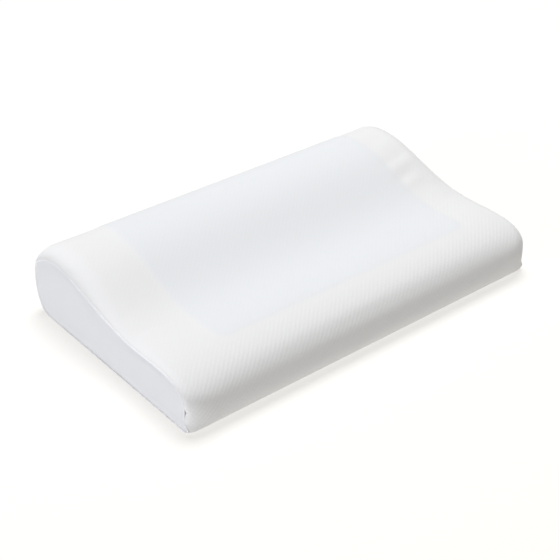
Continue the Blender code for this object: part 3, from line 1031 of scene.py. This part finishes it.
def diagonalRibs(tree, lean):
    # from 0 in the hollows to 1 on the ribs, which lean this way and stray a little
    cloth, s, x = onCloth(tree)
    angle = math.radians(knit["ribAngle"])
    around = addNode(tree, "ShaderNodeMath", "MULTIPLY", [s, math.sin(angle)]).outputs[0]
    sideways = addNode(tree, "ShaderNodeMath", "MULTIPLY", [x, lean * math.cos(angle)]).outputs[0]
    across = addNode(tree, "ShaderNodeMath", "ADD", [around, sideways]).outputs[0]
    noise = addNode(tree, "ShaderNodeTexNoise",
                    inputs={"Vector": cloth, "Scale": knit["crookScale"], "Detail": 1.0}).outputs[0]
    crook = addNode(tree, "ShaderNodeMath", "MULTIPLY", [noise, knit["crook"]]).outputs[0]
    across = addNode(tree, "ShaderNodeMath", "ADD", [across, crook]).outputs[0]
    turn = addNode(tree, "ShaderNodeMath", "MULTIPLY", [across, 2 * math.pi / knit["ribSpacing"]]).outputs[0]
    wave = addNode(tree, "ShaderNodeMath", "SINE", [turn]).outputs[0]
    return addNode(tree, "ShaderNodeMath", "MULTIPLY_ADD", [wave, 0.5, 0.5]).outputs[0]


def knittedLoops(tree, size, fuzzScale, fuzzDetail):
    # a small bump for each loop, in rows round and along the pillow, under fine fuzz
    cloth, s, x = onCloth(tree)
    waves = []
    for place in (s, x):
        turn = addNode(tree, "ShaderNodeMath", "MULTIPLY", [place, 2 * math.pi / size]).outputs[0]
        waves.append(addNode(tree, "ShaderNodeMath", "SINE", [turn]).outputs[0])
    loops = addNode(tree, "ShaderNodeMath", "MULTIPLY", waves).outputs[0]
    fuzz = addNode(tree, "ShaderNodeTexNoise",
                   inputs={"Vector": cloth, "Scale": fuzzScale, "Detail": fuzzDetail}).outputs[0]
    return addNode(tree, "ShaderNodeMath", "ADD", [loops, fuzz]).outputs[0]


def drawnTight(tree):
    # 1 where the foam stretches the knit over the top, 0 lower down
    s = onCloth(tree)[1]
    shares = []
    for (low, high), before in ((knit["tightFrom"], 0.0), (knit["tightTo"], 1.0)):
        shares.append(addNode(tree, "ShaderNodeMapRange", {"interpolation_type": "SMOOTHSTEP"},
                              {"Value": s, "From Min": low, "From Max": high,
                               "To Min": before, "To Max": 1.0 - before}).outputs[0])
    return addNode(tree, "ShaderNodeMath", "MULTIPLY", shares).outputs[0]


def overPad(tree):
    # 1 inside the rounded rectangle where the gel lies under the knit, 0 outside
    s, x = onCloth(tree)[1:]
    corner = pad["corner"]
    past, squares = [], []
    for place, middle, half in ((s, (padBack + padFront) / 2, (padFront - padBack) / 2), (x, padMiddle, padHalf)):
        away = addNode(tree, "ShaderNodeMath", "SUBTRACT", [place, middle]).outputs[0]
        away = addNode(tree, "ShaderNodeMath", "ABSOLUTE", [away]).outputs[0]
        past.append(addNode(tree, "ShaderNodeMath", "SUBTRACT", [away, half - corner]).outputs[0])
        outside = addNode(tree, "ShaderNodeMath", "MAXIMUM", [past[-1], 0.0]).outputs[0]
        squares.append(addNode(tree, "ShaderNodeMath", "POWER", [outside, 2.0]).outputs[0])
    outside = addNode(tree, "ShaderNodeMath", "ADD", squares).outputs[0]
    outside = addNode(tree, "ShaderNodeMath", "SQRT", [outside]).outputs[0]
    inside = addNode(tree, "ShaderNodeMath", "MAXIMUM", past).outputs[0]
    inside = addNode(tree, "ShaderNodeMath", "MINIMUM", [inside, 0.0]).outputs[0]
    distance = addNode(tree, "ShaderNodeMath", "ADD", [outside, inside]).outputs[0]
    distance = addNode(tree, "ShaderNodeMath", "SUBTRACT", [distance, corner]).outputs[0]
    return addNode(tree, "ShaderNodeMapRange", {"interpolation_type": "SMOOTHSTEP"},
                   {"Value": distance, "From Min": knit["padFade"], "From Max": -knit["padFade"],
                    "To Min": 0.0, "To Max": 1.0}).outputs[0]


def knitMaterial():
    # White double-jersey polyester knit, ribbed on the diagonal: matt, softly furred, with small
    # raised lozenges
    material, tree, shader = newMaterial("White jacquard knit, polyester, diagonal rib", specular=0.2,
                                         roughness=knit["roughness"], sheen=knit["sheen"], sheenRoughness=0.6)
    crossing = addNode(tree, "ShaderNodeMath", "MULTIPLY", [diagonalRibs(tree, -1), knit["counter"]]).outputs[0]
    lozenge = addNode(tree, "ShaderNodeMath", "ADD", [diagonalRibs(tree, 1), crossing]).outputs[0]
    loops = knittedLoops(tree, knit["loop"], knit["fuzzScale"], 2.0)
    loops = addNode(tree, "ShaderNodeMath", "MULTIPLY", [loops, knit["loopDepth"]]).outputs[0]
    lost = -knit["drawnTight"] * knit["ribDepth"]
    depth = addNode(tree, "ShaderNodeMath", "MULTIPLY_ADD", [drawnTight(tree), lost, knit["ribDepth"]]).outputs[0]
    ribs = addNode(tree, "ShaderNodeMath", "MULTIPLY", [lozenge, depth]).outputs[0]
    height = addNode(tree, "ShaderNodeMath", "ADD", [ribs, loops]).outputs[0]
    shade = addNode(tree, "ShaderNodeMix", {"data_type": "RGBA"},
                    {0: overPad(tree), 6: linear(knit["colour"]), 7: linear(knit["overPad"])}).outputs[2]
    # the colour darkens a little in the hollows between the ribs: painted shade
    dress(tree, shader, shade, height, lozenge, knit["hollow"], (0.0, knit["hollowTo"]))
    return material


plainKnit = {
    # the panel's colour is a little greyer and cooler than the piping's: painted shade on the ends' faces, with a
    # slight cool tint of the jersey's own
    "panel": "#E3E4E7",
    # the piping's lighter colour is a painted highlight on the lit top of its ridge
    "piping": "#EDEDF0",
    "loop": 0.0013,                # one loop, about twice the real one so that it shows
    "depth": 0.00005,
    "fuzzScale": 900.0,
    "patchScale": 30.0,            # faint patches about 30 mm across
    "patch": 0.992,
}


def plainKnitMaterial(name, colour):
    # Smooth single-jersey knit: finer and flatter than the rib, with a slight cool cast; made twice, as a copy with
    # painted shade for the end panels and a lighter copy with a painted highlight for the piping
    material, tree, shader = newMaterial(name, roughness=0.88, sheen=0.1, sheenRoughness=0.5, specular=0.25)
    cloth = onCloth(tree)[0]
    loops = knittedLoops(tree, plainKnit["loop"], plainKnit["fuzzScale"], 3.0)
    height = addNode(tree, "ShaderNodeMath", "MULTIPLY", [loops, plainKnit["depth"]]).outputs[0]
    patch = addNode(tree, "ShaderNodeTexNoise",
                    inputs={"Vector": cloth, "Scale": plainKnit["patchScale"], "Detail": 2.0}).outputs[0]
    dress(tree, shader, colour, height, patch, plainKnit["patch"])
    return material


foam = {
    "colour": "#F1EBDD",
    "patchScale": 60.0,
    "patch": 0.9,
    "poreScale": 830.0,            # a pore in every 1.2 mm
    "poreEdge": (0.05, 0.5),
    "poreDepth": 0.00018,
}


def foamMaterial():
    # Moulded viscoelastic foam: a matt cream face with fine open pores, about 0.5 mm, drawn at 1.2 mm
    # so that they show
    material, tree, shader = newMaterial("Viscoelastic polyurethane foam, moulded", roughness=0.95, specular=0.15)
    spot = addNode(tree, "ShaderNodeTexCoord").outputs["Object"]
    patch = addNode(tree, "ShaderNodeTexNoise",
                    inputs={"Vector": spot, "Scale": foam["patchScale"], "Detail": 3.0}).outputs[0]
    pores = addNode(tree, "ShaderNodeTexVoronoi",
                    inputs={"Vector": spot, "Scale": foam["poreScale"]}).outputs["Distance"]
    low, high = foam["poreEdge"]
    height = addNode(tree, "ShaderNodeMapRange",
                     inputs={"Value": pores, "From Min": low, "From Max": high,
                             "To Min": 0.0, "To Max": foam["poreDepth"]}).outputs[0]
    dress(tree, shader, foam["colour"], height, patch, foam["patch"])
    return material


def grainMaterial(name, colour, scale, depth, low=0.9, **finish):
    # a plain material with an uneven, grained face
    material, tree, shader = newMaterial(name, **finish)
    spot = addNode(tree, "ShaderNodeTexCoord").outputs["Object"]
    grain = addNode(tree, "ShaderNodeTexNoise", inputs={"Vector": spot, "Scale": scale, "Detail": 3.0}).outputs[0]
    height = addNode(tree, "ShaderNodeMath", "MULTIPLY", [grain, depth]).outputs[0]
    dress(tree, shader, colour, height, grain, low)
    return material


tapeWeave = {
    "colour": "#E9E9E7",
    "thread": 0.0008,
    "rib": 0.0016,                 # the width of one slant before it turns back
    "depth": 0.00006,
    # painted shade: the colour's share in the twill's hollows
    "hollow": 0.90,
}


def tapeMaterial():
    # Woven polyester zip tape: a fine herringbone of 0.5 mm threads, drawn at 0.8 mm so that it shows
    material, tree, shader = newMaterial("White polyester zip tape, woven", roughness=0.75, sheen=0.1, specular=0.3)
    s, x = onCloth(tree)[1:]
    folded = addNode(tree, "ShaderNodeMath", "PINGPONG", [s, tapeWeave["rib"]]).outputs[0]
    slant = addNode(tree, "ShaderNodeMath", "ADD", [folded, x]).outputs[0]
    turn = addNode(tree, "ShaderNodeMath", "MULTIPLY", [slant, 2 * math.pi / tapeWeave["thread"]]).outputs[0]
    twill = addNode(tree, "ShaderNodeMath", "SINE", [turn]).outputs[0]
    height = addNode(tree, "ShaderNodeMath", "MULTIPLY", [twill, tapeWeave["depth"]]).outputs[0]
    # the colour darkens in the twill's hollows: painted shade
    dress(tree, shader, tapeWeave["colour"], height, twill, tapeWeave["hollow"], (-1.0, 1.0))
    return material


ribbon = {
    "colour": "#F0EFEC",
    "floats": (2600.0, 160.0, 1.0),   # per metre along and across, so that each is 0.4 by 6 mm
    "depth": 0.00005,
    # painted shade: the colour's share where the floats lie low
    "hollow": 0.93,
}


def labelMaterial():
    # Satin-woven ribbon: long floats across its width give a soft streaked sheen, from its gloss, and in its colour
    # from painted shade along the floats' hollows
    material, tree, shader = newMaterial("White polyester ribbon, satin woven, blank", roughness=0.42,
                                         sheen=0.15, specular=0.5)
    cloth = onCloth(tree)[0]
    stretch = addNode(tree, "ShaderNodeMapping", inputs={"Vector": cloth, "Scale": ribbon["floats"]}).outputs[0]
    floats = addNode(tree, "ShaderNodeTexNoise",
                     inputs={"Vector": stretch, "Scale": 1.0, "Detail": 2.0}).outputs[0]
    height = addNode(tree, "ShaderNodeMath", "MULTIPLY", [floats, ribbon["depth"]]).outputs[0]
    # the colour darkens where the floats lie low: painted shade
    dress(tree, shader, ribbon["colour"], height, floats, ribbon["hollow"])
    return material


knitFinish = knitMaterial()
# one jersey twice: a darker copy with painted shade for the ends, a lighter copy with a painted highlight for the
# piping
panelShadedFinish = plainKnitMaterial("White jersey knit, polyester, plain", plainKnit["panel"])
pipingLitFinish = plainKnitMaterial("White jersey knit, wrapped round cord", plainKnit["piping"])
foamFinish = foamMaterial()
# Cast polyurethane gel: pale blue, soft gloss, a little light passing through it
gelFinish = grainMaterial("Polyurethane gel, cast", "#BFD3EC", 45.0, 0.0002,
                          roughness=0.28, specular=0.5, subsurface=0.15)
# Nylon monofilament, bent to a coil: smooth with a small soft highlight
coilFinish = grainMaterial("Nylon monofilament, drawn and coiled", "#ECECEA", 900.0, 0.00001,
                           roughness=0.38, specular=0.5)
# Zinc alloy, die-cast and enamelled white: hard, even, slightly wavy gloss
enamelFinish = grainMaterial("Zinc alloy, die-cast, white enamel", "#E8E8E6", 500.0, 0.00002, low=0.96,
                             roughness=0.30, specular=0.5, coat=0.4, coatRoughness=0.15)
# Spun polyester sewing thread: matt with a faint lustre
threadFinish = grainMaterial("White polyester thread, spun", "#F2F2F0", 2500.0, 0.00004,
                             roughness=0.7, sheen=0.2, specular=0.3)
tapeFinish = tapeMaterial()
labelFinish = labelMaterial()
print("materials made")


# the pieces, each on its body

coverWrap = finishPiece(makeCoverWrap(), "pillow", ["cover_wrap"], knitFinish)
print("cover made:", len(coverWrap.data.polygons), "faces")
for name, side in (("Left", -1), ("Right", 1)):
    endNode, cordNode = "cover_end_" + name.lower(), "piping_" + name.lower()
    made = finishPiece(makePanel("coverEnd" + name, side), "pillow", [endNode], panelShadedFinish)
    finishPiece(makePiping("piping" + name, side), "pillow", [cordNode], pipingLitFinish)
print("ends and piping made")

foamCore = finishPiece(makeFoamCore(), "pillow", ["foam_core"], foamFinish)
gelPad = finishPiece(makeGelPad(), "pillow", ["gel_pad"], gelFinish)
print("foam and gel made")

for name, side in (("Upper", 1), ("Lower", -1)):
    tapeNode, coilNode = "zip_tape_" + name.lower(), "zip_coil_" + name.lower()
    tape = finishPiece(makeTape("zipTape" + name, tapeNode, side), "pillow", [tapeNode], tapeFinish)
    finishPiece(makeCoil("zipCoil" + name, coilNode, coilFinish), "pillow", [coilNode], coilFinish)
    finishPiece(makeTopstitch("topstitch" + name, side, threadFinish), "pillow", [], threadFinish)
for name in ("Left", "Right"):
    node = "zip_stop_" + name.lower()
    finishPiece(softened("zipStop" + name, node, solids["stopEdge"]), "pillow", [node], coilFinish)
for name, body in (("Slider", "slider"), ("Pull", "pull")):
    made = softened("zip" + name, "zip_" + body, solids["metalEdge"])
    finishPiece(made, body, ["zip_" + body], enamelFinish)
careLabel = finishPiece(makeLabel(), "pillow", ["care_label"], labelFinish)
print("zip and label made")
